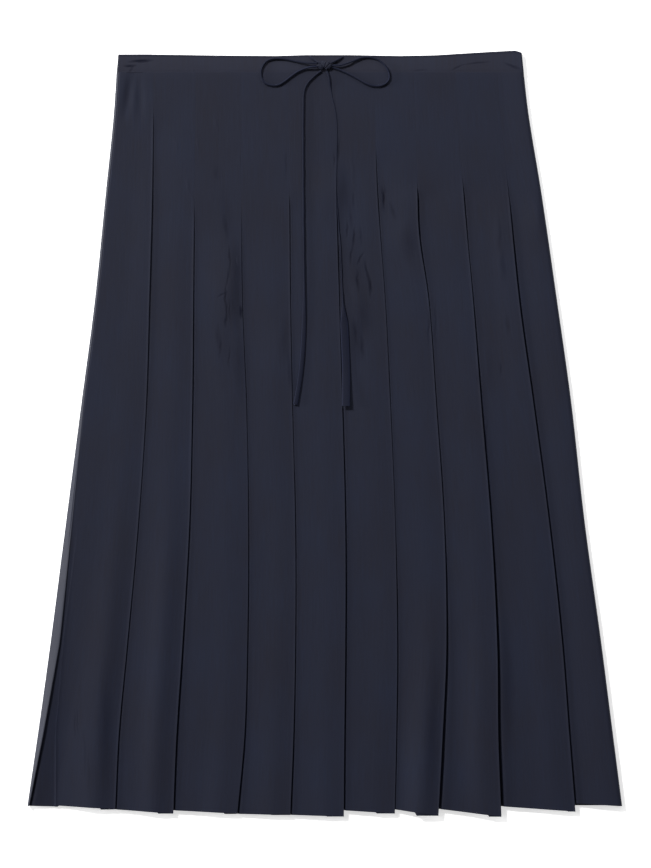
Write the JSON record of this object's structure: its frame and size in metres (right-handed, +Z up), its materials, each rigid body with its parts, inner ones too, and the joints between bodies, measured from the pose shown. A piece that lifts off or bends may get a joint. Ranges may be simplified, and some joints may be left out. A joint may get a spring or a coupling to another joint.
{
  "type": "pleated midi skirt",
  "caption": "Knife-pleated midi skirt laid flat, with a casing at the waist and a flat drawstring tied in a bow with two long ends.",
  "frame": {"origin": "centre of the skirt's outline, on the surface that it lies on", "axes": "+X to the skirt's left side as it is worn, on the right of the picture; +Y from the hem to the waist; +Z up, out of the front"},
  "size_m": [0.594, 0.766, 0.0172],
  "materials": {
    "cloth": "dark navy plain-woven cloth with a soft, silky sheen",
    "casing": "the same dark navy cloth, folded double",
    "string": "flat tube of the same dark navy cloth"
  },
  "bodies": {
    "root": {"skirt_front": "cloth", "skirt_back": "cloth", "casing_front": "casing", "casing_back": "casing", "string_knot": "string", "string_lead_left": "string", "string_lead_right": "string", "string_loop_left": "string", "string_loop_right": "string", "string_end_left": "string", "string_end_right": "string"}
  },
  "joints": []
}
